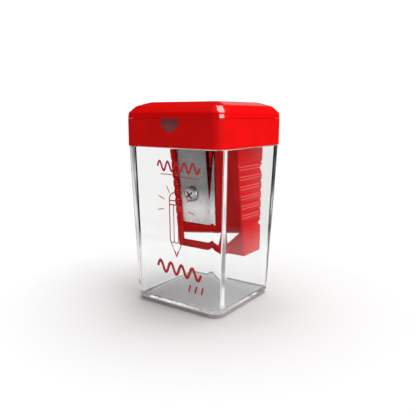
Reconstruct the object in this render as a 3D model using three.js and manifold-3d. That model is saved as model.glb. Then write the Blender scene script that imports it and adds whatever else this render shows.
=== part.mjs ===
// Container pencil sharpener: clear tapered bin, red lift-off head with a hinged lid,
// and a ribbed sharpener insert with one screwed blade hanging in the bin.
// Millimetres, +Z up, the object stands on z = 0 and its printed front faces -Y.

import * as THREE from 'three';
import { ConvexGeometry } from 'three/addons/geometries/ConvexGeometry.js';
import { mergeVertices } from 'three/addons/utils/BufferGeometryUtils.js';
import Module from 'manifold-3d';

const wasm = await Module();
wasm.setup();
const { Manifold, Mesh } = wasm;

// ---- driving dimensions --------------------------------------------------

const totalHeight = 55;
const cornerSteps = 8;

const bin = {
  footHeight: 1.1,
  footHalf: 13.9,
  baseHalf: 14.35,
  shoulderZ: 43.4,
  shoulderHalf: 15.6,
  neckHalf: 14.6,
  neckTop: 47.0,
  floorZ: 1.6,
  floorEase: 0.6,
  cavityBaseHalf: 12.6,
  cavityTopHalf: 13.6,
  corner: 3.4,
  cavityCorner: 1.4,
};

const head = {
  half: 15.8,
  corner: 3.2,
  rimZ: 43.5,
  partingZ: 50.75,
  skirtInnerHalf: 14.9,
  deckBottom: 47.6,
  deckTop: 48.9,
  recessHalf: 14.2,
};

// Under the lid a round rim drops over the insert's neck and closes it.
const lidSize = {
  gap: 0.15,
  bandTop: 52.2,
  wall: 1.2,
  crownInset: 5.6,
  rimOuter: 6.5,
  rimInner: 5.6,
  rimDrop: 0.5,
};

// Dome of the lid: how far each level steps in from the band, and its height above the band.
const domeSteps = [
  { inset: 0, rise: 0, corner: 3.2 },
  { inset: 1.8, rise: 1.75, corner: 2.4 },
  { inset: 3.4, rise: 2.3, corner: 1.8 },
  { inset: 5.07, rise: totalHeight - lidSize.bandTop, corner: 1.2 },
];

const notch = { radius: 2.8, depth: 0.6, slant: 0.19 };

const hinge = {
  y: head.half,
  z: head.partingZ + lidSize.gap / 2,
  barrelRadius: 1.3,
  relief: 1.6,
  boreRadius: 0.8,
  pinRadius: 0.5,
  middleHalf: 3.5,
  outerEnd: 8.0,
  gap: 0.3,
};

// The insert's front leans back towards its foot, so it is wedge-shaped from the side.
const insert = {
  half: 10.5,
  bottom: 12.85,
  top: 47.3,
  back: 11.8,
  frontAtBottom: 2.73,
  lean: 0.151,
  wing: 1.15,
  recess: 1.3,
  barHeight: 1.95,
  stileDepth: 1.5,
  chinLeft: 16.4,
  chinRight: 18.8,
  chinRound: 2.8,
  landTop: 41.5,
};

const pencil = { x: 0.4, y: 3.0, radius: 3.9, tipRadius: 0.7, tipZ: 19.5, coneTop: 43.5 };
const neckTube = { radius: 5.2, top: 50.0, holeRadius: 5.5 };
const ribs = { count: 6, pitch: 2.7, lowest: 22.6, depth: 0.4 };
const edgeNotch = { heights: [21.2, 37.1], half: 1.35, depth: 1.5 };

const bladeSize = {
  left: -9.2,
  right: 0.86,
  bottom: 20.5,
  length: 23.5,
  thickness: 0.6,
  bevel: 0.9,
  holeRadius: 1.35,
};

const screwSize = {
  x: -5.2,
  z: 29.2,
  headRadius: 2.3,
  headHeight: 1.15,
  shankRadius: 1.0,
  shankLength: 4.0,
  crossWidth: 0.55,
  crossLength: 2.6,
  crossDepth: 0.7,
};

const throat = { width: 1.2, bottom: 20.6, top: 43.0 };

// ---- solids --------------------------------------------------------------

function solidFrom(geometry) {
  const bare = new THREE.BufferGeometry();
  bare.setAttribute('position', geometry.getAttribute('position').clone());
  if (geometry.index) bare.setIndex(geometry.index.clone());
  const welded = mergeVertices(bare, 1e-5);
  const vertProperties = new Float32Array(welded.getAttribute('position').array);
  const triVerts = new Uint32Array(welded.index.array);
  return new Manifold(new Mesh({ numProp: 3, vertProperties, triVerts }));
}

function geometryFrom(solid) {
  const mesh = solid.getMesh();
  const geometry = new THREE.BufferGeometry();
  geometry.setAttribute('position', new THREE.BufferAttribute(mesh.vertProperties.slice(), 3));
  geometry.setIndex(new THREE.BufferAttribute(mesh.triVerts.slice(), 1));
  const flat = geometry.toNonIndexed();
  flat.computeVertexNormals();
  return flat;
}

function roundedRing(half, corner, z) {
  const ring = [];
  const centres = [[1, 1], [-1, 1], [-1, -1], [1, -1]];
  centres.forEach(([sx, sy], quarter) => {
    for (let i = 0; i <= cornerSteps; i += 1) {
      const angle = (quarter + i / cornerSteps) * (Math.PI / 2);
      const x = sx * (half - corner) + corner * Math.cos(angle);
      const y = sy * (half - corner) + corner * Math.sin(angle);
      ring.push([x, y, z]);
    }
  });
  return ring;
}

// Stack of rounded squares, closed at both ends.
function loft(levels) {
  const rings = levels.map(({ half, corner, z }) => roundedRing(half, corner, z));
  const count = rings[0].length;
  const positions = rings.flat(2);
  const index = [];
  for (let level = 0; level < rings.length - 1; level += 1) {
    for (let i = 0; i < count; i += 1) {
      const next = (i + 1) % count;
      const a = level * count + i;
      const b = level * count + next;
      index.push(a, b, b + count, a, b + count, a + count);
    }
  }
  const bottomCentre = positions.length / 3;
  positions.push(0, 0, levels[0].z, 0, 0, levels[levels.length - 1].z);
  const topStart = (rings.length - 1) * count;
  for (let i = 0; i < count; i += 1) {
    const next = (i + 1) % count;
    index.push(bottomCentre, next, i);
    index.push(bottomCentre + 1, topStart + i, topStart + next);
  }
  const geometry = new THREE.BufferGeometry();
  geometry.setAttribute('position', new THREE.Float32BufferAttribute(positions, 3));
  geometry.setIndex(index);
  return solidFrom(geometry);
}

// Tapered round bar along +Z.
function coneZ(x, y, z0, z1, r0, r1, segments = 40) {
  const geometry = new THREE.CylinderGeometry(r1, r0, z1 - z0, segments);
  geometry.rotateX(Math.PI / 2);
  geometry.translate(x, y, (z0 + z1) / 2);
  return solidFrom(geometry);
}

function barX(x0, x1, y, z, radius, segments = 32) {
  const geometry = new THREE.CylinderGeometry(radius, radius, x1 - x0, segments);
  geometry.rotateZ(Math.PI / 2);
  geometry.translate((x0 + x1) / 2, y, z);
  return solidFrom(geometry);
}

// Outline in the YZ plane, extruded along X.
function slabX(outline, x0, x1) {
  const shape = new THREE.Shape(outline.map(([y, z]) => new THREE.Vector2(y, z)));
  const geometry = new THREE.ExtrudeGeometry(shape, { depth: x1 - x0, bevelEnabled: false });
  const turn = new THREE.Matrix4().set(0, 0, 1, x0, 1, 0, 0, 0, 0, 1, 0, 0, 0, 0, 0, 1);
  geometry.applyMatrix4(turn);
  return solidFrom(geometry);
}

function hull(points) {
  return solidFrom(new ConvexGeometry(points.map(([x, y, z]) => new THREE.Vector3(x, y, z))));
}

const union = (...solids) => Manifold.union(solids);

function cut(solid, ...tools) {
  return tools.reduce((left, tool) => left.subtract(tool), solid);
}

// ---- insert's leaning front plane -----------------------------------------

const frontY = (z, depth = 0) => insert.frontAtBottom - insert.lean * (z - insert.bottom) + depth;

// Block whose front lies on the leaning plane, `depth` behind the wings' edges.
function wedge(x0, x1, z0, z1, depth, back) {
  const outline = [[frontY(z0, depth), z0], [back, z0], [back, z1], [frontY(z1, depth), z1]];
  return slabX(outline, x0, x1);
}

// Places a solid drawn on a level plate (x across, y up the plate, +z outwards) on the lean.
function ontoLean(solid, x, z, depth) {
  const tilt = Math.atan(insert.lean);
  const place = new THREE.Matrix4().makeTranslation(x, frontY(z, depth), z);
  place.multiply(new THREE.Matrix4().makeRotationX(Math.PI / 2 + tilt));
  return solid.transform(place.toArray());
}

// ---- parts -----------------------------------------------------------------

function makeContainer() {
  const outer = loft([
    { z: 0, half: bin.footHalf - 0.2, corner: bin.corner },
    { z: 0.2, half: bin.footHalf, corner: bin.corner },
    { z: bin.footHeight, half: bin.footHalf, corner: bin.corner },
    { z: bin.footHeight + 0.35, half: bin.baseHalf, corner: bin.corner + 0.3 },
    { z: bin.shoulderZ, half: bin.shoulderHalf, corner: bin.corner - 0.3 },
    { z: bin.shoulderZ, half: bin.neckHalf, corner: bin.corner - 0.9 },
    { z: bin.neckTop - 0.3, half: bin.neckHalf, corner: bin.corner - 0.9 },
    { z: bin.neckTop, half: bin.neckHalf - 0.3, corner: bin.corner - 1.1 },
  ]);
  const cavity = loft([
    { z: bin.floorZ, half: bin.cavityBaseHalf - bin.floorEase, corner: bin.cavityCorner - 0.4 },
    { z: bin.floorZ + bin.floorEase, half: bin.cavityBaseHalf, corner: bin.cavityCorner },
    { z: bin.shoulderZ, half: bin.cavityTopHalf, corner: bin.cavityCorner },
    { z: bin.neckTop + 1, half: bin.cavityTopHalf, corner: bin.cavityCorner },
  ]);
  return cut(outer, cavity);
}

function notchTool() {
  const geometry = new THREE.CylinderGeometry(notch.radius, notch.radius, 6, 40);
  geometry.rotateX(-notch.slant);
  geometry.translate(0, -head.half + notch.depth - 3, head.partingZ);
  return solidFrom(geometry);
}

function makeCollar() {
  const { half, corner, rimZ, partingZ, skirtInnerHalf, deckBottom, deckTop, recessHalf } = head;
  const outer = loft([
    { z: rimZ, half: half - 0.15, corner },
    { z: rimZ + 0.15, half, corner },
    { z: partingZ, half, corner },
  ]);
  const skirt = loft([
    { z: rimZ - 1, half: skirtInnerHalf, corner: corner - 0.6 },
    { z: deckBottom, half: skirtInnerHalf, corner: corner - 0.6 },
  ]);
  const recess = loft([
    { z: deckTop, half: recessHalf, corner: corner - 1.2 },
    { z: partingZ + 1, half: recessHalf, corner: corner - 1.2 },
  ]);
  const tubeHole = coneZ(pencil.x, pencil.y, deckBottom - 1, deckTop + 1,
    neckTube.holeRadius, neckTube.holeRadius);
  const { y, z, relief, barrelRadius, middleHalf, outerEnd, gap, boreRadius } = hinge;
  const reliefs = [-1, 1].map((side) => {
    const ends = [side * middleHalf, side * (outerEnd + gap)].sort((a, b) => a - b);
    return barX(ends[0], ends[1], y, z, relief);
  });
  const shell = cut(outer, skirt, recess, tubeHole, notchTool(), ...reliefs);
  const knuckle = barX(-middleHalf, middleHalf, y, z, barrelRadius);
  const pinBore = barX(-middleHalf - 1, middleHalf + 1, y, z, boreRadius);
  return cut(union(shell, knuckle), pinBore);
}

function makeLid() {
  const bottom = head.partingZ + lidSize.gap;
  const { wall, bandTop, crownInset, rimOuter, rimInner, rimDrop } = lidSize;
  const outer = loft([
    { z: bottom, half: head.half, corner: head.corner },
    ...domeSteps.map(({ inset, rise, corner }) => (
      { z: bandTop + rise, half: head.half - inset, corner }
    )),
  ]);
  const hollow = loft([
    { z: bottom - 1, half: head.half - wall, corner: head.corner - wall },
    ...domeSteps.slice(0, 3).map(({ inset, rise, corner }) => ({
      z: bandTop + rise - 0.5 * wall,
      half: head.half - inset - wall,
      corner: corner - 0.5 * wall,
    })),
    { z: totalHeight - wall, half: head.half - crownInset - wall, corner: 0.8 },
  ]);
  const rimFoot = neckTube.top - rimDrop;
  const ring = cut(
    coneZ(pencil.x, pencil.y, rimFoot, totalHeight - wall + 0.2, rimOuter, rimOuter),
    coneZ(pencil.x, pencil.y, rimFoot - 0.5, totalHeight - wall, rimInner, rimInner),
  );
  const { y, z, relief, barrelRadius, middleHalf, outerEnd, gap, boreRadius } = hinge;
  const middle = barX(-middleHalf - gap, middleHalf + gap, y, z, relief);
  const shell = union(cut(outer, hollow, middle), ring);
  const knuckles = [-1, 1].map((side) => {
    const ends = [side * (middleHalf + gap), side * outerEnd].sort((a, b) => a - b);
    return barX(ends[0], ends[1], y, z, barrelRadius);
  });
  const pinBore = barX(-outerEnd - 1, outerEnd + 1, y, z, boreRadius);
  return cut(union(shell, ...knuckles), pinBore);
}

function makeHingePin() {
  return barX(-hinge.outerEnd + 0.2, hinge.outerEnd - 0.2, hinge.y, hinge.z, hinge.pinRadius, 20);
}

// Saw-like side of a wing: one groove and two small ridges per rib, drawn in the XZ plane.
function ribCutter(side) {
  const { count, pitch, lowest, depth } = ribs;
  const face = insert.half;
  const profile = [[face + 1, lowest - 0.5], [face + 0.01, lowest - 0.5]];
  for (let i = 0; i < count; i += 1) {
    const z = lowest + i * pitch;
    profile.push(
      [face - depth, z], [face - 0.08, z + 0.5], [face, z + 1.15],
      [face - 0.14, z + 1.3], [face, z + 1.95], [face - 0.14, z + 2.1],
    );
  }
  const top = lowest + count * pitch;
  profile.push([face - depth, top], [face + 0.01, top + 0.5], [face + 1, top + 0.5]);
  const shape = new THREE.Shape(profile.map(([x, z]) => new THREE.Vector2(x, z)));
  const geometry = new THREE.ExtrudeGeometry(shape, { depth: 30, bevelEnabled: false });
  geometry.rotateX(Math.PI / 2);
  geometry.translate(0, 20, 0);
  const cutter = solidFrom(geometry);
  return side > 0 ? cutter : cutter.mirror([1, 0, 0]);
}

// Everything below the core's foot, whose front edge is round and climbs from left to right.
function underChin(slope) {
  const { chinLeft, chinRight, chinRound, recess } = insert;
  const level = (chinLeft + chinRight) / 2;
  const frontAt = frontY(level + chinRound, recess);
  const outline = [[-6, level - 8], [20, level - 8], [20, level]];
  for (let i = 0; i <= cornerSteps; i += 1) {
    const angle = (i / cornerSteps) * (Math.PI / 2);
    outline.push([
      frontAt + chinRound * (1 - Math.sin(angle)), level + chinRound * (1 - Math.cos(angle)),
    ]);
  }
  outline.push([-6, level + chinRound]);
  const climb = new THREE.Matrix4().makeTranslation(0, 0, level);
  climb.multiply(new THREE.Matrix4().makeRotationY(-Math.atan(slope)));
  climb.multiply(new THREE.Matrix4().makeTranslation(0, 0, -level));
  return slabX(outline, -insert.half - 1, insert.half + 1).transform(climb.toArray());
}

// Corner gusset in the insert's front: a triangle whose long side is chamfered outwards.
function gusset(corner, along, up, chamfer) {
  const [x, z] = corner;
  const toe = Math.sign(along) * chamfer;
  const rise = Math.sign(up) * chamfer;
  const front = [[x, z], [x + along, z], [x, z + up]];
  const rear = [[x, z], [x + along + toe, z], [x, z + up + 0.2 * rise]];
  return hull([
    ...front.map(([px, pz]) => [px, frontY(pz), pz]),
    ...rear.map(([px, pz]) => [px, frontY(pz, insert.recess), pz]),
    ...rear.map(([px, pz]) => [px, frontY(pz, insert.stileDepth + 0.3), pz]),
  ]);
}

function makeSharpenerBody() {
  const { half, bottom, top, back, wing, recess, barHeight, stileDepth } = insert;
  const inner = half - wing;
  const chinSlope = (insert.chinRight - insert.chinLeft) / (2 * inner);

  const coreBlock = wedge(-inner - 0.5, inner + 0.5, insert.chinLeft - 0.5, top, recess, back);
  const core = cut(coreBlock, underChin(chinSlope));

  const rightWing = wedge(inner, half, bottom, top, 0, back);
  const leftWing = cut(
    wedge(-half, -inner, bottom, top, 0, back),
    hull([-half - 1, -inner + 0.01].flatMap((x) => [
      [x, frontY(bottom, stileDepth), bottom - 1],
      [x, frontY(17, stileDepth), 17],
      [x, frontY(17, stileDepth) + 2.4, 19.4],
      [x, back + 1, 19.4],
      [x, back + 1, bottom - 1],
    ])),
  );

  const bar = wedge(-inner - 0.5, inner + 0.5, bottom, bottom + barHeight, 0,
    frontY(bottom, stileDepth));
  const bottomGusset = gusset([inner + 0.5, bottom + 1], -6.1, 6.2, 1.0);
  const headBlock = wedge(-inner - 0.5, inner + 0.5, insert.landTop + 2.2, top, 0, back);
  const topGusset = gusset([inner + 0.5, insert.landTop + 2.3], -3.2, -4.6, 1.0);

  const tube = coneZ(pencil.x, pencil.y, top - 1, neckTube.top, neckTube.radius, neckTube.radius);
  const body = union(core, rightWing, leftWing, bar, bottomGusset, headBlock, topGusset, tube);

  const bore = union(
    coneZ(pencil.x, pencil.y, pencil.tipZ, pencil.coneTop, pencil.tipRadius, pencil.radius),
    coneZ(pencil.x, pencil.y, pencil.coneTop - 0.01, neckTube.top + 1, pencil.radius, pencil.radius),
    coneZ(pencil.x, pencil.y, insert.chinLeft - 1, pencil.tipZ + 0.01,
      pencil.tipRadius, pencil.tipRadius),
  );
  const slot = wedge(bladeSize.right - 1.6, bladeSize.right + throat.width, throat.bottom, throat.top,
    -1, pencil.y);
  const seat = cut(
    wedge(bladeSize.left - 0.3, bladeSize.right + 0.3, bladeSize.bottom - 0.4,
      bladeSize.bottom + bladeSize.length + 0.2, -4, 20),
    wedge(-20, 20, bottom, top, recess + bladeSize.thickness + 0.05, 30),
  );
  const screwHole = ontoLean(
    coneZ(0, 0, -screwSize.shankLength - 0.8, 2, screwSize.shankRadius + 0.3,
      screwSize.shankRadius + 0.3, 28),
    screwSize.x, screwSize.z, recess,
  );
  const notches = edgeNotch.heights.map((z) => slabX(
    [[back + 0.5, z - edgeNotch.half], [back + 0.5, z + edgeNotch.half],
      [back - edgeNotch.depth, z]],
    -half - 1, half + 1,
  ));
  return cut(body, bore, slot, seat, screwHole, ...notches, ribCutter(1), ribCutter(-1));
}

function makeBlade() {
  const { left, right, length, thickness, bevel, holeRadius, bottom } = bladeSize;
  const shape = new THREE.Shape([
    new THREE.Vector2(left, 0), new THREE.Vector2(right, 0),
    new THREE.Vector2(right, length), new THREE.Vector2(left, length),
  ]);
  const plate = solidFrom(new THREE.ExtrudeGeometry(shape, { depth: thickness, bevelEnabled: false }));
  const edge = hull([0, length].flatMap((y) => {
    const out = y === 0 ? -1 : y + 1;
    return [[right - bevel, out, -0.01], [right + 1, out, -0.01], [right + 1, out, thickness * 1.9]];
  }));
  const reach = Math.hypot(1, insert.lean);
  const hole = coneZ(screwSize.x, (screwSize.z - bottom) * reach, -1, 2, holeRadius, holeRadius, 32);
  return ontoLean(cut(plate, edge, hole), 0, bottom, insert.recess + thickness);
}

function makeBladeScrew() {
  const { headRadius, headHeight, shankRadius, shankLength, x, z } = screwSize;
  const profile = [new THREE.Vector2(0, -shankLength - 0.3)];
  profile.push(new THREE.Vector2(shankRadius * 0.6, -shankLength));
  for (let i = 0; i < 5; i += 1) {
    const base = -shankLength + 0.3 + i * 0.7;
    profile.push(new THREE.Vector2(shankRadius, base + 0.2));
    profile.push(new THREE.Vector2(shankRadius * 0.78, base + 0.5));
  }
  profile.push(new THREE.Vector2(shankRadius, 0.05));
  const steps = 8;
  for (let i = 0; i <= steps; i += 1) {
    const angle = (i / steps) * (Math.PI / 2);
    profile.push(new THREE.Vector2(headRadius * Math.cos(angle), 0.05 + headHeight * Math.sin(angle)));
  }
  profile[profile.length - 1].x = 0;
  const geometry = new THREE.LatheGeometry(profile, 36);
  geometry.rotateX(Math.PI / 2);
  const cross = [0, Math.PI / 2].map((turn) => {
    const arm = new THREE.BoxGeometry(screwSize.crossWidth, screwSize.crossLength, 2);
    arm.rotateZ(turn + Math.PI / 5);
    arm.translate(0, 0, 0.05 + headHeight - screwSize.crossDepth + 1);
    return solidFrom(arm);
  });
  return ontoLean(cut(solidFrom(geometry), ...cross), x, z, insert.recess);
}

// ---- assembly ----------------------------------------------------------------

function material(color, roughness, metalness, extra = {}) {
  return new THREE.MeshStandardMaterial({ color, roughness, metalness, ...extra });
}

const clearPlastic = { transparent: true, opacity: 0.35 };
const parts = [
  ['container', makeContainer(), material(0xf4f8f8, 0.05, 0, clearPlastic)],
  ['collar', makeCollar(), material(0xc8100e, 0.2, 0)],
  ['lid', makeLid(), material(0xd0120f, 0.2, 0)],
  ['hinge_pin', makeHingePin(), material(0xb8babc, 0.25, 1)],
  ['sharpener_body', makeSharpenerBody(), material(0xc01418, 0.25, 0)],
  ['blade', makeBlade(), material(0xa8aaa8, 0.3, 1)],
  ['blade_screw', makeBladeScrew(), material(0xd8dadc, 0.12, 1)],
];

const sharpener = new THREE.Group();
sharpener.name = 'pencil_sharpener';
for (const [name, solid, finish] of parts) {
  const mesh = new THREE.Mesh(geometryFrom(solid), finish);
  mesh.name = name;
  sharpener.add(mesh);
}

export default sharpener;
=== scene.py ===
from math import atan, cos, pi, radians, sin

import bmesh
import bpy
from mathutils import Matrix, Vector


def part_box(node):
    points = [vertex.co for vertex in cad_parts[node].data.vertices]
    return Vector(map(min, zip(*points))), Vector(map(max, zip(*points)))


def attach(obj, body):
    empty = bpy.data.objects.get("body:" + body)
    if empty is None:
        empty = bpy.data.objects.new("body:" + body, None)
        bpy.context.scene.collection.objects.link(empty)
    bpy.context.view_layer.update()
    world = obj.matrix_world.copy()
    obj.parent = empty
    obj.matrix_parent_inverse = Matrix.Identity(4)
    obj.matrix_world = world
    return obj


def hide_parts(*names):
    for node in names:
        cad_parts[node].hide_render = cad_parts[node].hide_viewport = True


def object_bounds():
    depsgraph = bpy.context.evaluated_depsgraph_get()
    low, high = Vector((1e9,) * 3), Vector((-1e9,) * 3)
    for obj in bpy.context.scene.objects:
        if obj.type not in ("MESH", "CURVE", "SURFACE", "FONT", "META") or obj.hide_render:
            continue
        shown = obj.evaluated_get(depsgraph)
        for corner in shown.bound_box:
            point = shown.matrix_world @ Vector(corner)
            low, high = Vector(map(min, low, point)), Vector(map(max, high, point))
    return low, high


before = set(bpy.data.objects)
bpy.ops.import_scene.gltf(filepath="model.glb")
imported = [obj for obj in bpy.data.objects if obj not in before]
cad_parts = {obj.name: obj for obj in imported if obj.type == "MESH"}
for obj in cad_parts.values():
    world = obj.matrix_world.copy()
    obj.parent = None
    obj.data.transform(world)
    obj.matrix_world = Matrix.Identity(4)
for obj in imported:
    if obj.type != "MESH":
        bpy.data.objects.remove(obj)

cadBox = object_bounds()
mm = 0.001
unmoved = Matrix.Identity(4)
smoothUnder = 30  # degrees between faces that still shade as one surface
weldWithin = 0.0004
arcSteps = 18     # steps round each corner of a rounded square


def boxInMm(node):
    low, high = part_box(node)
    return low / mm, high / mm


def newPiece(name, bm, body, slotName, *nodes):
    mesh = bpy.data.meshes.new(name)
    bm.to_mesh(mesh)
    bm.free()
    piece = bpy.data.objects.new(name, mesh)
    bpy.context.scene.collection.objects.link(piece)
    if body:
        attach(piece, body)
    if nodes:
        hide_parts(*nodes)
    return piece


def toolPiece(bm):
    return newPiece("tool", bm, None, None)


def applyModifiers(piece):
    bpy.context.view_layer.update()
    evaluated = piece.evaluated_get(bpy.context.evaluated_depsgraph_get())
    mesh = bpy.data.meshes.new_from_object(evaluated)
    piece.modifiers.clear()
    old, piece.data = piece.data, mesh
    mesh.name = piece.name
    bpy.data.meshes.remove(old)


def combine(piece, tools, operation="DIFFERENCE"):
    for tool in tools:
        step = piece.modifiers.new("combine", "BOOLEAN")
        step.operation = operation
        step.solver = "EXACT"
        step.object = tool
    applyModifiers(piece)
    for tool in tools:
        bpy.data.objects.remove(tool)


def shadeByAngle(piece, limit=smoothUnder):
    bm = bmesh.new()
    bm.from_mesh(piece.data)
    bmesh.ops.remove_doubles(bm, verts=bm.verts, dist=weldWithin * mm)
    for face in bm.faces:
        face.smooth = True
    for edge in bm.edges:
        edge.smooth = len(edge.link_faces) == 2 and edge.calc_face_angle(0) < radians(limit)
    bm.to_mesh(piece.data)
    bm.free()


# Rounded square, with a spare point just past each arc so that the flats stay flat when shaded
def squareRing(half, corner, z, steps, guard=0.2):
    ring = []
    for quarter, (sx, sy) in enumerate(((1, 1), (-1, 1), (-1, -1), (1, -1))):
        centre = Vector((sx * (half - corner), sy * (half - corner), z))
        turns = [quarter + step / steps for step in range(steps + 1)]
        arc = [centre + corner * Vector((cos(t * pi / 2), sin(t * pi / 2), 0)) for t in turns]
        along = Vector((sin(turns[0] * pi / 2), -cos(turns[0] * pi / 2), 0))
        leaving = Vector((-sin(turns[-1] * pi / 2), cos(turns[-1] * pi / 2), 0))
        ring += [arc[0] + along * guard, *arc, arc[-1] + leaving * guard]
    return ring


# Levels are (half width, height, corner radius, rounding of the edge); rounded ones become arcs
def roundedLevels(levels, steps=5, guard=0.15):
    rounded = []
    for index, (half, z, corner, rounding) in enumerate(levels):
        here = Vector((half, z, corner))
        if not rounding:
            rounded.append(here)
            continue
        sides = []
        for other in (levels[index - 1], levels[index + 1]):
            away = Vector(other[:3]) - here
            length = away.xy.length
            reach = min(rounding, 0.42 * length)
            spare = min(reach + guard, 0.46 * length)
            sides.append((here + away * reach / length, here + away * spare / length))
        (start, startSpare), (end, endSpare) = sides
        rounded.append(startSpare)
        for step in range(steps + 1):
            s = step / steps
            rounded.append(start * (1 - s) ** 2 + here * 2 * s * (1 - s) + end * s ** 2)
        rounded.append(endSpare)
    return rounded


# Solid skinned over rounded squares, level by level
def loft(levels):
    bm = bmesh.new()
    rings = []
    for half, z, corner in roundedLevels(levels):
        ring = squareRing(half, corner, z, arcSteps)
        rings.append([bm.verts.new(point * mm) for point in ring])
    for lower, upper in zip(rings, rings[1:]):
        for i in range(len(lower)):
            bm.faces.new((lower[i - 1], lower[i], upper[i], upper[i - 1]))
    bm.faces.new(rings[0][::-1])
    bm.faces.new(rings[-1])
    bmesh.ops.recalc_face_normals(bm, faces=bm.faces)
    return bm


# Turned solid: (radius, height) pairs from axis to axis, about Z, then put in place
def turned(profile, place=unmoved, segments=64):
    bm = bmesh.new()
    rings = []
    for radius, height in profile:
        if radius <= 0:
            rings.append([bm.verts.new((0, 0, height * mm))])
            continue
        turns = [2 * pi * k / segments for k in range(segments)]
        circle = [Vector((radius * cos(t), radius * sin(t), height)) for t in turns]
        rings.append([bm.verts.new(point * mm) for point in circle])
    for lower, upper in zip(rings, rings[1:]):
        for i in range(segments):
            around = ((lower, i - 1), (lower, i), (upper, i), (upper, i - 1))
            corners = [ring[j % len(ring)] for ring, j in around]
            bm.faces.new(list(dict.fromkeys(corners)))
    bmesh.ops.recalc_face_normals(bm, faces=bm.faces)
    place = place.copy()
    place.translation *= mm
    bm.transform(place)
    return bm


def rodProfile(length, radius, edge=0.0):
    if not edge:
        return [(0, 0), (radius, 0), (radius, length), (0, length)]
    turns = [k * pi / 8 for k in range(5)]
    foot = [(radius - edge + edge * sin(t), edge - edge * cos(t)) for t in turns]
    top = [(radius - edge + edge * cos(t), length - edge + edge * sin(t)) for t in turns]
    return [(0, 0), *foot, *top, (0, length)]


def rodAlongX(x0, x1, y, z, radius, edge=0.0, segments=48):
    place = Matrix.Translation((x0, y, z)) @ Matrix.Rotation(pi / 2, 4, "Y")
    return turned(rodProfile(x1 - x0, radius, edge), place, segments)


def boxTool(size, place):
    bm = bmesh.new()
    bmesh.ops.create_cube(bm, size=mm, matrix=Matrix.Diagonal((*size, 1)))
    place = place.copy()
    place.translation *= mm
    bm.transform(place)
    return bm


easing = {"weld": 0.001, "flatWithin": 0.8, "sharpOver": 28, "smoothUnder": 34, "segments": 2}


# Copy of a CAD solid with its flat faces joined up and its edges eased, short ones less
def easedCopy(name, node, body, slotName, edges):
    bm = bmesh.new()
    bm.from_mesh(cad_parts[node].data)
    bmesh.ops.remove_doubles(bm, verts=bm.verts, dist=easing["weld"] * mm)
    bmesh.ops.dissolve_limit(
        bm, angle_limit=radians(easing["flatWithin"]), verts=bm.verts, edges=bm.edges)
    weight = bm.edges.layers.float.new("bevel_weight_edge")
    for edge in bm.edges:
        if len(edge.link_faces) == 2 and edge.calc_face_angle(0) > radians(easing["sharpOver"]):
            isLong = edge.calc_length() > edges["longOver"] * mm
            edge[weight] = 1.0 if isLong else edges["shortEase"] / edges["ease"]
    piece = newPiece(name, bm, body, slotName, node)
    bevel = piece.modifiers.new("eased edges", "BEVEL")
    bevel.limit_method = "WEIGHT"
    bevel.width = edges["ease"] * mm
    bevel.segments = easing["segments"]
    bevel.use_clamp_overlap = False
    applyModifiers(piece)
    shadeByAngle(piece, easing["smoothUnder"])
    return piece


def newMaterial(name, **values):
    material = bpy.data.materials.new(name)
    material.use_nodes = True
    tree = material.node_tree
    shader = tree.nodes["Principled BSDF"]
    for socket, value in values.items():
        shader.inputs[socket.replace("_", " ")].default_value = value
    return material, tree, shader


def addNode(tree, kind, inputs=None, **settings):
    node = tree.nodes.new("ShaderNode" + kind)
    for key, value in settings.items():
        setattr(node, key, value)
    for key, value in (inputs or {}).items():
        node.inputs[key].default_value = value
    return node


# Place on the piece in millimetres, each axis scaled by stretch
def surfacePlace(tree, stretch=(1, 1, 1), turn=(0, 0, 0)):
    place = addNode(tree, "TexCoord")
    mapping = addNode(tree, "Mapping", {"Scale": [s / mm for s in stretch], "Rotation": turn})
    tree.links.new(place.outputs["Object"], mapping.inputs["Vector"])
    return mapping.outputs["Vector"]


def noiseOf(tree, place, scale, detail=3.0, roughness=0.5):
    noise = addNode(tree, "TexNoise", {"Scale": scale, "Detail": detail, "Roughness": roughness})
    tree.links.new(place, noise.inputs["Vector"])
    return noise.outputs["Fac"]


def ramp(tree, value, stops):
    node = addNode(tree, "ValToRGB")
    elements = node.color_ramp.elements
    elements[0].position, elements[-1].position = stops[0][0], stops[-1][0]
    for position, _ in stops[1:-1]:
        elements.new(position)
    for element, (_, shade) in zip(elements, stops):
        element.color = (*shade, 1) if isinstance(shade, tuple) else (shade, shade, shade, 1)
    tree.links.new(value, node.inputs["Fac"])
    return node.outputs["Color"]


# Maps the value's useful part, for noise the middle of its range, onto low to high
def spread(tree, value, low, high, fromLow=0.3, fromHigh=0.7):
    node = addNode(tree, "MapRange", {
        "From Min": fromLow, "From Max": fromHigh, "To Min": low, "To Max": high})
    tree.links.new(value, node.inputs["Value"])
    return node.outputs["Result"]


def blendColours(tree, amount, first, second):
    mix = addNode(tree, "Mix", data_type="RGBA")
    for socket, colour in ((mix.inputs[6], first), (mix.inputs[7], second)):
        if isinstance(colour, tuple):
            socket.default_value = (*colour, 1)
        else:
            tree.links.new(colour, socket)
    tree.links.new(amount, mix.inputs[0])
    return mix.outputs[2]


def addBump(tree, shader, height, distance, strength=1.0, under=None):
    bump = addNode(tree, "Bump", {"Strength": strength, "Distance": distance * mm})
    tree.links.new(height, bump.inputs["Height"])
    if under:
        tree.links.new(under, bump.inputs["Normal"])
    tree.links.new(bump.outputs["Normal"], shader.inputs["Normal"])
    return bump.outputs["Normal"]


# Rises from 0 to 1 between two heights
def heightOf(tree, low, high):
    place = addNode(tree, "TexCoord")
    split = addNode(tree, "SeparateXYZ")
    tree.links.new(place.outputs["Object"], split.inputs[0])
    return spread(tree, split.outputs["Z"], 0, 1, low * mm, high * mm)


# Thin handling marks: stretched noise with only its crests kept
def scratches(tree, stretch, turn, keep):
    noise = noiseOf(tree, surfacePlace(tree, stretch, turn), 1.0, 2.0)
    return ramp(tree, noise, [(keep, 0.0), (keep + 0.05, 1.0)])


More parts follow.
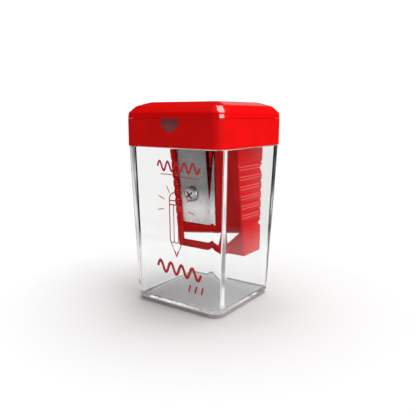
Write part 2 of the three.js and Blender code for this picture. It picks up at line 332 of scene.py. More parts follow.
# Moulded red: slow colour clouds, a faint orange peel and fine handling marks
redFinish = {
    "clouds": 0.22,
    "deeper": 0.9,
    "roughPatches": 1.1,
    "roughRange": (0.8, 1.25),
    "peelScale": 2.6,
    "markStretch": (0.5, 0.5, 14.0),
    "markTurn": (0.9, 0.5, 0.9),
    "markKeep": 0.72,
    "markRoughness": 0.12,
    "markDepth": 0.004,
    "markStrength": 0.5,
}


def glossyRed(name, colour, roughness, specular, peel):
    f = redFinish
    material, tree, shader = newMaterial(name, Metallic=0, Specular_IOR_Level=specular)
    place = surfacePlace(tree)
    cloudy = noiseOf(tree, place, f["clouds"], 4.0)
    deeper = tuple(c * f["deeper"] for c in colour)
    base = blendColours(tree, spread(tree, cloudy, 0, 1), deeper, colour)
    marks = scratches(tree, f["markStretch"], f["markTurn"], f["markKeep"])
    tree.links.new(base, shader.inputs["Base Color"])
    low, high = (roughness * share for share in f["roughRange"])
    rough = spread(tree, noiseOf(tree, place, f["roughPatches"], 5.0), low, high)
    wearAndHighlight = addNode(tree, "Math", operation="MULTIPLY_ADD")
    tree.links.new(marks, wearAndHighlight.inputs[0])
    wearAndHighlight.inputs[1].default_value = f["markRoughness"]
    tree.links.new(rough, wearAndHighlight.inputs[2])
    tree.links.new(wearAndHighlight.outputs[0], shader.inputs["Roughness"])
    under = addBump(tree, shader, noiseOf(tree, place, f["peelScale"], 2.0), peel)
    addBump(tree, shader, marks, -f["markDepth"], f["markStrength"], under)
    return material


print("materials")

reds = {
    "shell red": {
        "colour": (0.68, 0.0025, 0.0025), "roughness": 0.12, "specular": 0.5, "peel": 0.002},
    "insert red": {
        "colour": (0.6, 0.005, 0.006), "roughness": 0.2, "specular": 0.06, "peel": 0.004},
}
shellRed = glossyRed("shell red", **reds["shell red"])
insertRed = glossyRed("insert red", **reds["insert red"])


# Each has one fine grain that drives its colour, roughness and bump together
grainFinishes = {
    # the notch's darker greyish red is painted shade and painted reflection in the recess
    "notch painted shade and reflection": {
        "grain": 3.2, "detail": (6.0, 0.7), "dark": (0.2, 0.035, 0.04),
        "bright": (0.27, 0.055, 0.062), "roughRange": (0.5, 0.75), "depth": 0.03},
    # the foot's dark grey-brown is partly painted contact shade under the bin
    "foot frost and painted shade": {
        "grain": 2.2, "detail": (5.0, 0.6), "dark": (0.24, 0.2, 0.195),
        "bright": (0.33, 0.285, 0.28), "roughRange": (0.25, 0.45), "depth": 0.01},
    "red ink": {
        "grain": 6.0, "detail": (4.0, 0.7), "dark": (0.46, 0.006, 0.014),
        "bright": (0.6, 0.01, 0.022), "roughRange": (0.3, 0.5), "depth": 0.004},
}


def makeGrained(name, **values):
    f = grainFinishes[name]
    material, tree, shader = newMaterial(name, **values)
    grain = noiseOf(tree, surfacePlace(tree), f["grain"], *f["detail"])
    colour = ramp(tree, grain, [(0.3, f["dark"]), (0.7, f["bright"])])
    tree.links.new(colour, shader.inputs["Base Color"])
    tree.links.new(spread(tree, grain, *f["roughRange"]), shader.inputs["Roughness"])
    addBump(tree, shader, grain, f["depth"])
    return material


# tint is the lower wall's colour and shade the upper wall's darker colour, which is painted shade,
# blended between two heights
clearPlastic = {
    "tint": (0.985, 0.998, 0.998),
    "cloudTint": 0.992,
    "shade": (0.955, 0.953, 0.951),
    "paintedShadeHeights": (8, 17),
    "reflection": (0.1, 0.1, 0.1, 1),
    "ior": 1.49,
    "roughness": (0.0012, 0.0066),
    "smudgeStretch": (0.12, 0.12, 0.2),
    "rippleStretch": (0.5, 0.5, 0.12),
    "ripple": 0.0002,
    "shadowTint": (0.24, 0.242, 0.245),
    # the next six settings paint a glow into the walls
    "paintedGlowAfter": 1.5,
    "streakStretch": (1, 1, 0.04),
    "streaks": 1.4,
    "paintedBrightStreaks": [(0.4, 0.35), (0.47, 0.85), (0.6, 1.0)],
    "paintedDarkStreaks": [(0.46, 0.01), (0.52, 0.1), (0.62, 0.85)],
    "paintedCornerArea": 40,
}


# One shader where the amount is 0, the other where it is 1
def mixShaders(tree, amount, first, second):
    mix = addNode(tree, "MixShader")
    for socket, source in zip(mix.inputs, (amount, first.outputs[0], second.outputs[0])):
        tree.links.new(source, socket)
    return mix


# Painted light: the walls glow as streaks where a ray was mirrored inside them more than once,
# bright at two corners and dark at two
def paintedWallGlow(tree):
    c = clearPlastic
    streaks = noiseOf(tree, surfacePlace(tree, c["streakStretch"]), c["streaks"], 2.0)
    corner = addNode(tree, "SeparateXYZ")
    tree.links.new(addNode(tree, "TexCoord").outputs["Object"], corner.inputs[0])
    across = addNode(tree, "Math", operation="MULTIPLY")
    tree.links.new(corner.outputs["X"], across.inputs[0])
    tree.links.new(corner.outputs["Y"], across.inputs[1])
    side = c["paintedCornerArea"] * mm * mm
    tone = blendColours(tree, spread(tree, across.outputs[0], 0, 1, -side, side),
                        ramp(tree, streaks, c["paintedBrightStreaks"]),
                        ramp(tree, streaks, c["paintedDarkStreaks"]))
    paintedGlow = addNode(tree, "Emission")
    tree.links.new(tone, paintedGlow.inputs["Color"])
    return paintedGlow


def makeClear():
    c = clearPlastic
    material, tree, shader = newMaterial(
        "clear plastic", Transmission_Weight=1.0, IOR=c["ior"], Specular_Tint=c["reflection"])
    cloud = spread(tree, noiseOf(tree, surfacePlace(tree), 0.15, 3.0), 0, 1)
    clouded = tuple(c["cloudTint"] * channel for channel in c["tint"])
    body = blendColours(tree, cloud, clouded, c["tint"])
    # the upper wall's darker colour is painted shade
    upper = heightOf(tree, *c["paintedShadeHeights"])
    tree.links.new(blendColours(tree, upper, body, c["shade"]), shader.inputs["Base Color"])
    smudge = noiseOf(tree, surfacePlace(tree, c["smudgeStretch"]), 1.0, 5.0, 0.6)
    tree.links.new(spread(tree, smudge, *c["roughness"], 0.45, 0.8), shader.inputs["Roughness"])
    waves = noiseOf(tree, surfacePlace(tree, c["rippleStretch"]), 1.0, 2.0)
    addBump(tree, shader, waves, c["ripple"])
    # light shines through onto what is inside, dimmed at each surface
    light = addNode(tree, "LightPath")
    through = addNode(tree, "BsdfTransparent", {"Color": (*c["shadowTint"], 1)})
    wall = mixShaders(tree, light.outputs["Is Shadow Ray"], shader, through)
    # rays mirrored more than once inside the wall show the painted glow instead of the wall
    often = addNode(tree, "Math", operation="GREATER_THAN")
    tree.links.new(light.outputs["Glossy Depth"], often.inputs[0])
    often.inputs[1].default_value = c["paintedGlowAfter"]
    edges = mixShaders(tree, often.outputs[0], wall, paintedWallGlow(tree))
    tree.links.new(edges.outputs[0], tree.nodes["Material Output"].inputs["Surface"])
    return material


def multiplyColours(tree, first, second):
    mix = addNode(tree, "Mix", data_type="RGBA", blend_type="MULTIPLY")
    mix.inputs[0].default_value = 1.0
    tree.links.new(first, mix.inputs[6])
    tree.links.new(second, mix.inputs[7])
    return mix.outputs[2]


# Greys are the dark and bright of the grinding lines, and span paints light and shade on a piece
# by its height
metals = {
    "blade steel": {"greys": ((0.62, 0.62, 0.62), (0.86, 0.865, 0.86)),
                    "stretch": (9, 9, 0.35), "roughness": 0.3},
    "pin steel": {"greys": ((0.42, 0.42, 0.43), (0.7, 0.7, 0.71)),
                  "stretch": (0.3, 6, 6), "roughness": 0.24},
    "screw chrome": {"greys": ((0.34, 0.34, 0.35), (0.62, 0.62, 0.63)),
                     "stretch": (3, 3, 3), "roughness": 0.07},
    "cross recess painted shade": {"greys": ((0.05, 0.05, 0.05), (0.16, 0.155, 0.15)),
                     "stretch": (5, 5, 5), "roughness": 0.35},
}
metalFinish = {"metallic": 0.75, "blotches": 0.35, "roughRange": (0.75, 1.35), "depth": 0.006}


def makeMetal(name, paintedLightSpan=None):
    m, f = metals[name], metalFinish
    material, tree, shader = newMaterial(name, Metallic=f["metallic"])
    lines = noiseOf(tree, surfacePlace(tree, m["stretch"]), 1.0, 6.0, 0.65)
    blotches = noiseOf(tree, surfacePlace(tree), f["blotches"], 5.0, 0.6)
    dark, bright = m["greys"]
    colour = ramp(tree, lines, [(0.25, dark), (0.75, bright)])
    # the colour is multiplied by painted light and shade that changes with height
    if paintedLightSpan:
        low, high, lowShade, highShade = paintedLightSpan
        stops = [(0.2, lowShade), (0.46, highShade), (1.0, highShade)]
        colour = multiplyColours(tree, colour, ramp(tree, heightOf(tree, low, high), stops))
    tree.links.new(colour, shader.inputs["Base Color"])
    low, high = (m["roughness"] * share for share in f["roughRange"])
    tree.links.new(spread(tree, blotches, low, high), shader.inputs["Roughness"])
    addBump(tree, shader, lines, f["depth"])
    return material


print("bin")

_, binHigh = boxInMm("container")
binSize = {
    "footHalf": 13.9,
    "footHeight": 1.1,
    "footStep": 0.35,
    "baseHalf": 14.35,
    "shoulderHalf": binHigh.x,
    "shoulderZ": 43.4,
    "neckHalf": 14.6,
    "top": binHigh.z,
    "mouthHalf": 13.6,
    "floorHalf": 12.6,
    "floorZ": 1.6,
    "corner": 3.4,
    "innerCorner": 1.4,
}


def makeBin():
    s = binSize
    corner = s["corner"]
    levels = [
        (3.0, 0, 1.0, 0),
        (s["footHalf"], 0, corner, 0.25),
        (s["footHalf"], s["footHeight"], corner, 0.1),
        (s["baseHalf"], s["footHeight"] + s["footStep"], corner + 0.3, 0.14),
        (s["shoulderHalf"], s["shoulderZ"], corner - 0.3, 0.2),
        (s["neckHalf"], s["shoulderZ"], corner - 0.9, 0.15),
        (s["neckHalf"], s["top"], corner - 0.9, 0.35),
        (s["mouthHalf"], s["top"], s["innerCorner"], 0.25),
        (s["mouthHalf"], s["shoulderZ"], s["innerCorner"], 0.6),
        (s["floorHalf"], s["floorZ"], s["innerCorner"], 0.8),
        (3.0, s["floorZ"], 1.0, 0),
    ]
    piece = newPiece("clear_bin", loft(levels), "bin", "clear_plastic", "container")
    shadeByAngle(piece)
    piece.data.materials.append(makeClear())
    piece.data.materials.append(
        makeGrained("foot frost and painted shade", Transmission_Weight=0.35, IOR=clearPlastic["ior"]))
    # only the foot's upright sides get the dark grey-brown half-clear finish, partly frosted
    # plastic and partly painted contact shade
    for face in piece.data.polygons:
        if face.center.z / mm < s["footHeight"] and abs(face.normal.z) < 0.5:
            face.material_index = 1


makeBin()

print("head")

collarLow, collarHigh = boxInMm("collar")
_, lidHigh = boxInMm("lid")
headSize = {
    "half": collarHigh.x,
    "corner": 3.2,
    "rimZ": collarLow.z,
    "partingZ": 50.75,
    "skirtHalf": 14.9,
    "deckBottom": 47.6,
    "deckTop": 48.9,
    "recessHalf": 14.2,
    "tubeHole": 5.5,
    "lidBottom": 50.8,
    "bandTop": 52.2,
    "lidWall": 1.2,
    "innerTopInset": 5.6,
    "top": lidHigh.z,
}
hingeSize = {
    "y": headSize["half"],
    "z": 50.825,
    "barrel": 1.3,
    "relief": 1.6,
    "bore": 0.8,
    "middleHalf": 3.5,
    "outerEnd": 8.0,
    "gap": 0.3,
}
notchSize = {"radius": 2.8, "depth": 0.6, "slant": 0.19, "rodLength": 6}
pencilHole = {"x": 0.4, "y": 3.0, "rimFoot": 49.5, "rimOuter": 6.5, "rimInner": 5.6}


def uprightRod(x, y, z0, z1, radius, edge=0.0, segments=72):
    return turned(rodProfile(z1 - z0, radius, edge), Matrix.Translation((x, y, z0)), segments)


def hingeSpans(extra):
    inner, outer = hingeSize["middleHalf"], hingeSize["outerEnd"] + extra
    return [(-outer, -inner), (inner, outer)]


# The thumb notch is the end of a slanted rod, sunk into the front
def notchRod():
    n = notchSize
    half = n["rodLength"] / 2
    middle = (0, -headSize["half"] + n["depth"] - half, headSize["partingZ"])
    turn = Matrix.Rotation(-n["slant"], 4, "X") @ Matrix.Rotation(pi / 2, 4, "X")
    place = Matrix.Translation(middle) @ turn @ Matrix.Translation((0, 0, -half))
    return turned(rodProfile(n["rodLength"], n["radius"]), place, 72)


# Gives the faces of the thumb notch the collar's second material, a darker greyish red that is
# painted shade and painted reflection
def markNotch(piece):
    front, radius = -headSize["half"], notchSize["radius"]
    foot = headSize["partingZ"] - radius - 0.3
    for face in piece.data.polygons:
        place = face.center / mm
        inNotch = abs(place.x) < radius + 0.1 and front + 0.02 < place.y < front + 0.9
        if inNotch and place.z > foot and face.normal.z < 0.98:
            face.material_index = 1


def makeCollar():
    s, h = headSize, hingeSize
    corner = s["corner"]
    levels = [
        (3.0, s["deckBottom"], 1.0, 0),
        (s["skirtHalf"], s["deckBottom"], corner - 0.6, 0.4),
        (s["skirtHalf"], s["rimZ"], corner - 0.6, 0.15),
        (s["half"], s["rimZ"], corner, 0.22),
        (s["half"], s["partingZ"], corner, 0.06),
        (s["recessHalf"], s["partingZ"], corner - 1.2, 0.2),
        (s["recessHalf"], s["deckTop"], corner - 1.2, 0.35),
        (3.0, s["deckTop"], 1.0, 0),
    ]
    piece = newPiece("head_collar", loft(levels), "head", "red_shell", "collar")
    x, y = pencilHole["x"], pencilHole["y"]
    tube = uprightRod(x, y, s["deckBottom"] - 1, s["deckTop"] + 1, s["tubeHole"])
    cuts = [toolPiece(tube), toolPiece(notchRod())]
    for a, b in hingeSpans(h["gap"]):
        cuts.append(toolPiece(rodAlongX(a, b, h["y"], h["z"], h["relief"])))
    combine(piece, cuts)
    knuckle = rodAlongX(-h["middleHalf"], h["middleHalf"], h["y"], h["z"], h["barrel"], 0.15)
    combine(piece, [toolPiece(knuckle)], "UNION")
    reach = h["middleHalf"] + 1
    combine(piece, [toolPiece(rodAlongX(-reach, reach, h["y"], h["z"], h["bore"]))])
    shadeByAngle(piece)
    piece.data.materials.append(shellRed)
    piece.data.materials.append(makeGrained("notch painted shade and reflection", Metallic=0, Specular_IOR_Level=0.3))
    markNotch(piece)


# Inside and outside of the lid, its dome as (step in, height, corner radius, rounding)
def lidLevels():
    s = headSize
    half, corner, wall = s["half"], s["corner"], s["lidWall"]
    dome = [
        (0.1, s["bandTop"], corner, 0.4),
        (1.8, s["bandTop"] + 1.75, corner - 0.8, 0.5),
        (3.4, s["bandTop"] + 2.3, corner - 1.4, 0.4),
        (5.07, s["top"], corner - 2.0, 0.3),
    ]
    outside = [(half - inset, z, radius, rounding) for inset, z, radius, rounding in dome]
    inside = [(half - inset - wall, z - 0.5 * wall, radius - 0.5 * wall, 0.4)
              for inset, z, radius, _ in dome[:3]]
    innerTop = s["top"] - wall
    return [
        (3.0, innerTop, 0.8, 0),
        (half - s["innerTopInset"] - wall, innerTop, 0.8, 0.3),
        *inside[::-1],
        (half - wall, s["lidBottom"], corner - wall, 0.15),
        (half, s["lidBottom"], corner, 0.08),
        *outside,
        (3.0, s["top"], 1.0, 0),
    ]


def makeLid():
    h = hingeSize
    piece = newPiece("flip_lid_cap", loft(lidLevels()), "flip_lid", "red_shell", "lid")
    free = h["middleHalf"] + h["gap"]
    combine(piece, [toolPiece(rodAlongX(-free, free, h["y"], h["z"], h["relief"]))])
    # a round rim inside the lid closes over the end of the pencil hole
    p = pencilHole
    x, y, foot, top = p["x"], p["y"], p["rimFoot"], headSize["top"] - headSize["lidWall"]
    rim = toolPiece(uprightRod(x, y, foot, top + 0.2, p["rimOuter"], 0.1))
    combine(rim, [toolPiece(uprightRod(x, y, foot - 1, top, p["rimInner"]))])
    knuckles = []
    for a, b in hingeSpans(0):
        a, b = a + h["gap"] * (a > 0), b - h["gap"] * (a < 0)
        knuckles.append(toolPiece(rodAlongX(a, b, h["y"], h["z"], h["barrel"], 0.15)))
    combine(piece, [rim, *knuckles], "UNION")
    reach = h["outerEnd"] + 1
    combine(piece, [toolPiece(rodAlongX(-reach, reach, h["y"], h["z"], h["bore"]))])
    shadeByAngle(piece)
    piece.data.materials.append(shellRed)


def makeHingePin():
    low, high = boxInMm("hinge_pin")
    radius = (high.z - low.z) / 2
    pin = rodAlongX(low.x, high.x, (low.y + high.y) / 2, (low.z + high.z) / 2, radius, 0.16, 32)
    piece = newPiece("lid_hinge_pin", pin, "head", "pin_steel", "hinge_pin")
    shadeByAngle(piece)
    piece.data.materials.append(makeMetal("pin steel"))


makeCollar()
makeLid()
makeHingePin()

print("insert")

insertSize = {
    "frontAtBottom": 2.73,
    "bottom": 12.85,
    "lean": 0.151,
    "recess": 1.3,
    "edges": {"ease": 0.14, "shortEase": 0.04, "longOver": 2.4},
}
ribSize = {
    "lowest": 22.6,
    "pitch": 2.7,
    "count": 6,
    # crests, width, paintedHighlightRed and amount set the painted highlight lines
    "crests": [0.426, 0.722],
    "width": 0.06,
    "paintedHighlightRed": (0.85, 0.2, 0.2),
    "amount": 0.8,
}


# Painted highlight: the crests of the grip ribs are painted paler, on the insert's two sides only
def paintedCrestHighlights(material):
    tree = material.node_tree
    shader = tree.nodes["Principled BSDF"]
    r = ribSize
    height = addNode(tree, "SeparateXYZ")
    tree.links.new(addNode(tree, "TexCoord").outputs["Object"], height.inputs[0])
    along = spread(tree, height.outputs["Z"], 0, r["count"],
                   r["lowest"] * mm, (r["lowest"] + r["count"] * r["pitch"]) * mm)
    turn = addNode(tree, "Math", operation="FRACT")
    tree.links.new(along, turn.inputs[0])
    stops = [(0.0, 0.0)]
    for crest in r["crests"]:
        stops += [(crest - r["width"], 0.0), (crest, 1.0), (crest + r["width"], 0.0)]
    line = ramp(tree, turn.outputs[0], stops)
    facing = addNode(tree, "SeparateXYZ")
    tree.links.new(addNode(tree, "TexCoord").outputs["Normal"], facing.inputs[0])
    sideways = addNode(tree, "Math", operation="ABSOLUTE")
    tree.links.new(facing.outputs["X"], sideways.inputs[0])
    wearAndHighlight = addNode(tree, "Math", operation="MULTIPLY")
    tree.links.new(line, wearAndHighlight.inputs[0])
    tree.links.new(spread(tree, sideways.outputs[0], 0, r["amount"], 0.5, 0.8), wearAndHighlight.inputs[1])
    plain = shader.inputs["Base Color"].links[0].from_socket
    colour = blendColours(tree, wearAndHighlight.outputs[0], plain, r["paintedHighlightRed"])
    tree.links.new(colour, shader.inputs["Base Color"])


def makeInsert():
    edges = insertSize["edges"]
    piece = easedCopy("sharpener_insert", "sharpener_body", "head", "red_insert", edges)
    paintedCrestHighlights(insertRed)
    piece.data.materials.append(insertRed)


# The steel's colour is painted brighter at its foot and darker at its top, a painted reflection of
# the light from below
bladeFinish = {
    "edges": {"ease": 0.05, "shortEase": 0.03, "longOver": 1.0},
    "foot": 1.15,
    "top": 0.33,
}


def makeBlade():
    b = bladeFinish
    low, high = boxInMm("blade")
    piece = easedCopy("cutting_blade", "blade", "head", "blade_steel", b["edges"])
    piece.data.materials.append(makeMetal("blade steel", (low.z, high.z, b["foot"], b["top"])))


screwSize = {
    "x": -5.2,
    "z": 29.2,
    "headRadius": 2.3,
    "headFoot": 0.05,
    "headEdge": 0.14,
    "headBevel": 0.12,
    "headHeight": 1.15,
    "neck": 0.02,
    "shankRadius": 1.0,
    "shankLength": 4.0,
    "tip": 0.3,
    "threads": 5,
    "threadPitch": 0.7,
    "threadFoot": 0.3,
    "flankStarts": (0.2, 0.26, 0.5, 0.6),
    "rootShare": 0.78,
    "pointShare": 0.6,
    "cross": (0.55, 2.6, 0.7),
    "crossTurn": pi / 5,
    "recessDepth": 0.06,
    "smoothUnder": 40,
}


# Half outline of the screw from its tip to the crown of its head, standing upright
def screwProfile():
    s = screwSize
    shank, length = s["shankRadius"], s["shankLength"]
    root = shank * s["rootShare"]
    profile = [(0, -length - s["tip"]), (shank * s["pointShare"], -length)]
    for turn in range(s["threads"]):
        base = -length + s["threadFoot"] + turn * s["threadPitch"]
        for radius, rise in zip((shank, shank, root, root), s["flankStarts"]):
            profile.append((radius, base + rise))
    profile.append((shank, -s["neck"]))
    profile.append((s["headRadius"] - s["headBevel"], s["headFoot"]))
    profile.append((s["headRadius"], s["headEdge"]))
    steps = 14
    for step in range(1, steps):
        angle = step / steps * pi / 2
        profile.append((s["headRadius"] * cos(angle), s["headEdge"] + domeRise() * sin(angle)))
    profile.append((0, s["headFoot"] + s["headHeight"]))
    return profile


def domeRise():
    s = screwSize
    return s["headHeight"] + s["headFoot"] - s["headEdge"]


# The screw is drawn upright on a level plate and then leaned onto the blade
def makeScrew():
    s, i = screwSize, insertSize
    depth = i["frontAtBottom"] - i["lean"] * (s["z"] - i["bottom"]) + i["recess"]
    leaning = Matrix.Rotation(pi / 2 + atan(i["lean"]), 4, "X")
    place = Matrix.Translation((s["x"], depth, s["z"])) @ leaning
    shape = turned(screwProfile(), place)
    piece = newPiece("round_screw", shape, "head", "screw_chrome", "blade_screw")
    width, length, deep = s["cross"]
    crown = s["headFoot"] + s["headHeight"]
    for quarter in range(2):
        arm = Matrix.Rotation(s["crossTurn"] + quarter * pi / 2, 4, "Z")
        arm = place @ arm @ Matrix.Translation((0, 0, crown - deep + 1))
        combine(piece, [toolPiece(boxTool((width, length, 2), arm))])
    shadeByAngle(piece, s["smoothUnder"])
    piece.data.materials.append(makeMetal("screw chrome"))
    piece.data.materials.append(makeMetal("cross recess painted shade"))
    # faces that lie under the dome belong to the cross, which gets a near-black steel as painted
    # shade in the recess
    upright = place.inverted()
    for face in piece.data.polygons:
        centre = upright @ (face.center / mm)
        outward = min(centre.xy.length / s["headRadius"], 1)
        domeHere = s["headEdge"] + domeRise() * (1 - outward ** 2) ** 0.5
        if s["headEdge"] < centre.z < domeHere - s["recessDepth"]:
            face.material_index = 1


makeInsert()
makeBlade()
makeScrew()

print("print")

# Waves are (x from, x to, z from, z to, height, turns, line width)
printSize = {
    "lift": 0.015,
    "thickness": 0.03,
    "capTurns": (0.38, 0.76, 1.15),
    "line": 0.3,
    "fineLine": 0.24,
    "boldLine": 0.45,
    "waves": [
        (-4.2, 9.0, 38.9, 38.6, 2.4, 5, 0.55),
        (-3.2, 8.9, 36.7, 36.2, 0.3, 1, 0.22),
        (-5.0, 9.0, 11.8, 11.1, 3.0, 4, 0.8),
    ],
    "pencilSides": (-0.6, 3.4),
    "pencilTop": 30.2,
    "ferrule": (30.0, 28.9),
    "barrelFoot": 19.4,
    "pencilPoint": 14.9,
    "facetInset": 1.3,
    "facets": (28.7, 19.6),
    "lead": (0.45, 16.3, 15.1),
    "rayAngles": (25, 62, 118, 155, 192, -12),
    "rayCentre": 28.4,
    "rayStart": 4.1,
    "rayLength": 1.8,
    "ticks": (5.2, 7.2, 9.2),
    "tickFoot": 6.3,
    "tickStep": (0.5, 1.6),
    "tickLine": 0.5,
}


def frontWallY(z):
    s = binSize
    low, high = s["footHeight"] + s["footStep"], s["shoulderZ"]
    return -(s["baseHalf"] + (s["shoulderHalf"] - s["baseHalf"]) * (z - low) / (high - low))


# Flat ribbon with round ends along points (x, z) on the front wall
def addStroke(bm, points, width):
    points = [Vector(p) for p in points]
    last = len(points) - 1
    left, right = [], []
    for i, point in enumerate(points):
        along = (points[min(i + 1, last)] - points[max(i - 1, 0)]).normalized()
        side = Vector((-along.y, along.x)) * width / 2
        rows = [(point + side, point - side)]
        if i in (0, last):
            outward = along if i else -along
            for turn in printSize["capTurns"]:
                tip = point + outward * (width / 2) * sin(turn)
                rows.append((tip + side * cos(turn), tip - side * cos(turn)))
        for onLeft, onRight in (rows if i else rows[::-1]):
            left.append(onLeft)
            right.append(onRight)
    outline = left + right[::-1]
    lift = printSize["lift"]
    layers = []
    for out in (lift, lift + printSize["thickness"]):
        layers.append([bm.verts.new(Vector((x, frontWallY(z) - out, z)) * mm) for x, z in outline])
    count = len(outline)
    for layer in layers:
        for i in range(len(left) - 1):
            bm.faces.new((layer[i], layer[i + 1], layer[count - 2 - i], layer[count - 1 - i]))
    for i in range(count):
        bm.faces.new((layers[0][i - 1], layers[0][i], layers[1][i], layers[1][i - 1]))


def wave(x0, x1, z0, z1, height, turns, steps=16):
    points = []
    for k in range(turns * steps + 1):
        s = k / (turns * steps)
        swing = height / 2 * sin(2 * pi * turns * s)
        points.append((x0 + (x1 - x0) * s, z0 + (z1 - z0) * s + swing))
    return points


def arcPoints(x, z, radius, start, end, steps=14):
    turns = [radians(start + (end - start) * k / steps) for k in range(steps + 1)]
    return [(x + radius * cos(t), z + radius * sin(t)) for t in turns]


# An upright pencil: round end, ferrule, three-sided barrel, scalloped wood and point
def drawPencil(bm):
    p = printSize
    line, fine = p["line"], p["fineLine"]
    (x0, x1), top, foot = p["pencilSides"], p["pencilTop"], p["barrelFoot"]
    middle, radius, inset = (x0 + x1) / 2, (x1 - x0) / 2, p["facetInset"]
    addStroke(bm, [(x0, top), *arcPoints(middle, top, radius, 180, 0), (x1, top)], line)
    for z in p["ferrule"]:
        addStroke(bm, [(x0, z), (x1, z)], line)
    for x in (x0, x1):
        addStroke(bm, [(x, top), (x, foot)], line)
    for x in (x0 + inset, x1 - inset):
        addStroke(bm, [(x, z) for z in p["facets"]], fine)
    addStroke(bm, [(x0, foot), (middle, p["pencilPoint"]), (x1, foot)], line)
    scallop = (x1 - x0) / 6
    for k in range(3):
        centre = x0 + k * 2 * scallop + scallop
        addStroke(bm, arcPoints(centre, foot, scallop, 180, 360), fine)
    half, high, low = p["lead"]
    addStroke(bm, [(middle - half, high), (middle, low), (middle + half, high)], p["boldLine"])
    for angle in p["rayAngles"]:
        toward = Vector((cos(radians(angle)), sin(radians(angle))))
        start = Vector((middle, p["rayCentre"])) + toward * p["rayStart"]
        addStroke(bm, [start, start + toward * p["rayLength"]], fine)


def makePrint():
    p = printSize
    bm = bmesh.new()
    for *shape, width in p["waves"]:
        addStroke(bm, wave(*shape), width)
    drawPencil(bm)
    for x in p["ticks"]:
        foot = Vector((x, p["tickFoot"]))
        addStroke(bm, [foot, foot + Vector(p["tickStep"])], p["tickLine"])
    bmesh.ops.recalc_face_normals(bm, faces=bm.faces)
    piece = newPiece("front_print", bm, "bin", "red_shell")
    piece.data.materials.append(makeGrained("red ink", Metallic=0, Specular_IOR_Level=0.3))


makePrint()

print("studio")

# Floor distances are in millimetres from the object's upright axis
# Suns are (name, toward, strength, width in degrees)
# Cards are (name, toward, distance, size, brightness), in metres
studio = {
    "floorRadius": 6000,
    "floorColour": 0.57,
    "paintedRedBounce": (0.965, 0.975),
    "horizon": 1.0,
    "overhead": 0.3,
    "overheadFrom": (0.15, 0.35),
    "diffuse": 0.09,
    "mirrored": 0.01,
    "mirroredFloor": (62, 95),
    "whiteBeyond": (22, 62),
    "whiteGlow": 1.02,
    "backdrop": 1.05,
    "paintedPoolUnder": (11.2, 12.6),
    "paintedPoolColour": 1.0,
    "suns": [
        ("key", (1, 0.05, 0.2), 2.85, 40),
        ("top", (0.05, 0.22, 1), 4.4, 80),
    ],
    "cards": [
        ("corner highlight", (0.12, 0.18, 0.97), 0.5, (0.4, 0.24), 9.0),
        ("band highlight", (0.82, -0.53, 0.22), 0.5, (0.34, 0.1), 13.0),
        ("back card", (-0.45, 0.84, 0.29), 0.8, (0.35, 0.14), 0.38),
    ],
}


# 1 for what is mirrored in a surface, 0 for what is seen directly or through clear plastic
def mirrorRays(tree):
    light = addNode(tree, "LightPath")
    mirroredOnce = addNode(tree, "Math", operation="MINIMUM")
    tree.links.new(light.outputs["Glossy Depth"], mirroredOnce.inputs[0])
    mirroredOnce.inputs[1].default_value = 1.0
    # a ray that left the clear wall again the way it came counts too
    oneWall = addNode(tree, "Math", operation="LESS_THAN")
    tree.links.new(light.outputs["Transmission Depth"], oneWall.inputs[0])
    oneWall.inputs[1].default_value = 2.5
    both = addNode(tree, "Math", operation="MULTIPLY")
    tree.links.new(mirroredOnce.outputs[0], both.inputs[0])
    tree.links.new(oneWall.outputs[0], both.inputs[1])
    return both.outputs[0]


# Distance from the object's upright axis, measured to a square's sides
def squareReach(tree):
    place = addNode(tree, "SeparateXYZ")
    tree.links.new(addNode(tree, "TexCoord").outputs["Object"], place.inputs[0])
    square = addNode(tree, "Math", operation="MAXIMUM")
    for axis, socket in zip("XY", square.inputs):
        size = addNode(tree, "Math", operation="ABSOLUTE")
        tree.links.new(place.outputs[axis], size.inputs[0])
        tree.links.new(size.outputs[0], socket)
    return square.outputs[0]


# Pale floor, painted brightest under the clear foot as a painted pool of light
def floorColour(tree, reach):
    cloud = spread(tree, noiseOf(tree, surfacePlace(tree, (0.02, 0.02, 0.02)), 1.0), 0, 1)
    tone = studio["floorColour"]
    # the floor's faint pink is painted light bounced from the red head
    redBouncePinks = [(tone, tone * blush, tone * blush) for blush in studio["paintedRedBounce"]]
    colour = blendColours(tree, cloud, *redBouncePinks)
    # the floor under the bin is painted bright: a painted pool of light
    inner, outer = studio["paintedPoolUnder"]
    outside = spread(tree, squareReach(tree), 0, 1, inner * mm, outer * mm)
    colour = blendColours(tree, outside, (studio["paintedPoolColour"],) * 3, colour)
    # in reflections the floor is only a small pale disc round the object, and dark beyond it
    near, far = studio["mirroredFloor"]
    both = addNode(tree, "Math", operation="MULTIPLY")
    tree.links.new(spread(tree, reach, 0, 1, near * mm, far * mm), both.inputs[0])
    tree.links.new(mirrorRays(tree), both.inputs[1])
    return blendColours(tree, both.outputs[0], colour, (studio["mirrored"],) * 3)


def makeFloor():
    bm = bmesh.new()
    bmesh.ops.create_circle(bm, cap_ends=True, segments=96, radius=studio["floorRadius"] * mm)
    mesh = bpy.data.meshes.new("floor")
    bm.to_mesh(mesh)
    bm.free()
    floor = bpy.data.objects.new("floor", mesh)
    bpy.context.scene.collection.objects.link(floor)
    floor.location.z = cadBox[0][2] - 0.02 * mm
    material, tree, shader = newMaterial("pale floor", Roughness=0.6, Specular_IOR_Level=0.1)
    length = addNode(tree, "VectorMath", operation="LENGTH")
    tree.links.new(addNode(tree, "TexCoord").outputs["Object"], length.inputs[0])
    reach = length.outputs["Value"]
    tree.links.new(floorColour(tree, reach), shader.inputs["Base Color"])
    # it fades to plain white well away from the object, except in reflections
    glow = addNode(tree, "Emission", {"Strength": studio["whiteGlow"]})
    clearing, white = studio["whiteBeyond"]
    fade = addNode(tree, "Math", operation="SUBTRACT", use_clamp=True)
    tree.links.new(spread(tree, reach, 0, 1, clearing * mm, white * mm), fade.inputs[0])
    tree.links.new(mirrorRays(tree), fade.inputs[1])
    surface = mixShaders(tree, fade.outputs[0], shader, glow)
    tree.links.new(surface.outputs[0], tree.nodes["Material Output"].inputs["Surface"])
    mesh.materials.append(material)


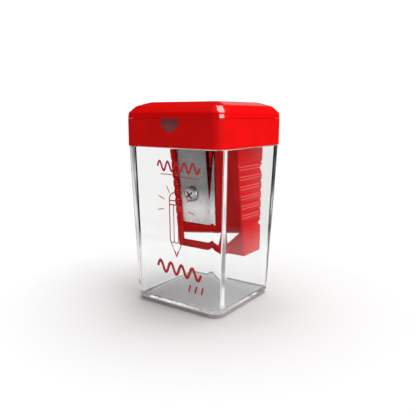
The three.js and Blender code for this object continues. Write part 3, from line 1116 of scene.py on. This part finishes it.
def makeWorld():
    world = bpy.data.worlds.new("studio")
    world.use_nodes = True
    tree = world.node_tree
    background = tree.nodes["Background"]
    place = addNode(tree, "TexCoord")
    split = addNode(tree, "SeparateXYZ")
    tree.links.new(place.outputs["Generated"], split.inputs[0])
    level = spread(tree, split.outputs["Z"], 0, 1, *studio["overheadFrom"])
    tone = ramp(tree, level, [(0.0, studio["horizon"]), (1.0, studio["overhead"])])
    light = addNode(tree, "LightPath")
    shade = (studio["diffuse"],) * 3
    seen = blendColours(tree, light.outputs["Is Diffuse Ray"], tone, shade)
    seen = blendColours(tree, mirrorRays(tree), seen, (studio["mirrored"],) * 3)
    seen = blendColours(tree, light.outputs["Is Camera Ray"], seen, (studio["backdrop"],) * 3)
    tree.links.new(seen, background.inputs["Color"])
    bpy.context.scene.world = world


# Far light as wide as the given angle, even over the whole floor
def addFarLight(name, toward, strength, width):
    lamp = bpy.data.lights.new(name, "SUN")
    lamp.energy = strength
    lamp.angle = radians(width)
    far = bpy.data.objects.new(name, lamp)
    bpy.context.scene.collection.objects.link(far)
    far.rotation_euler = Vector(toward).to_track_quat("Z", "Y").to_euler()
    far.visible_glossy = False


# Softbox that only shows as a highlight in glossy surfaces
def addCard(name, toward, distance, size, brightness):
    lamp = bpy.data.lights.new(name, "AREA")
    lamp.shape = "RECTANGLE"
    lamp.size, lamp.size_y = size
    lamp.energy = brightness * pi * size[0] * size[1]
    card = bpy.data.objects.new(name, lamp)
    bpy.context.scene.collection.objects.link(card)
    toward = Vector(toward).normalized()
    card.location = Vector((0, 0, cadBox[1][2])) + toward * distance
    card.rotation_euler = toward.to_track_quat("Z", "Y").to_euler()
    card.visible_camera = card.visible_diffuse = card.visible_transmission = False


view = {
    "place": (77.8, -113.35, 51.9),
    "turn": 36.67,
    "tilt": 11.0,
    "lens": 42.6,
    "shift": (0.053, 0.004),
}


def makeCamera():
    lens = bpy.data.cameras.new("camera")
    lens.lens = view["lens"]
    lens.sensor_width = 36
    lens.shift_x, lens.shift_y = view["shift"]
    lens.clip_start, lens.clip_end = 0.01, 20
    camera = bpy.data.objects.new("camera", lens)
    bpy.context.scene.collection.objects.link(camera)
    camera.location = Vector(view["place"]) * mm
    camera.rotation_euler = (radians(90 - view["tilt"]), 0, radians(view["turn"]))
    bpy.context.scene.camera = camera


makeFloor()
makeWorld()
for sun in studio["suns"]:
    addFarLight(*sun)
for card in studio["cards"]:
    addCard(*card)
makeCamera()
bpy.context.scene.view_settings.view_transform = "Standard"

print("done")
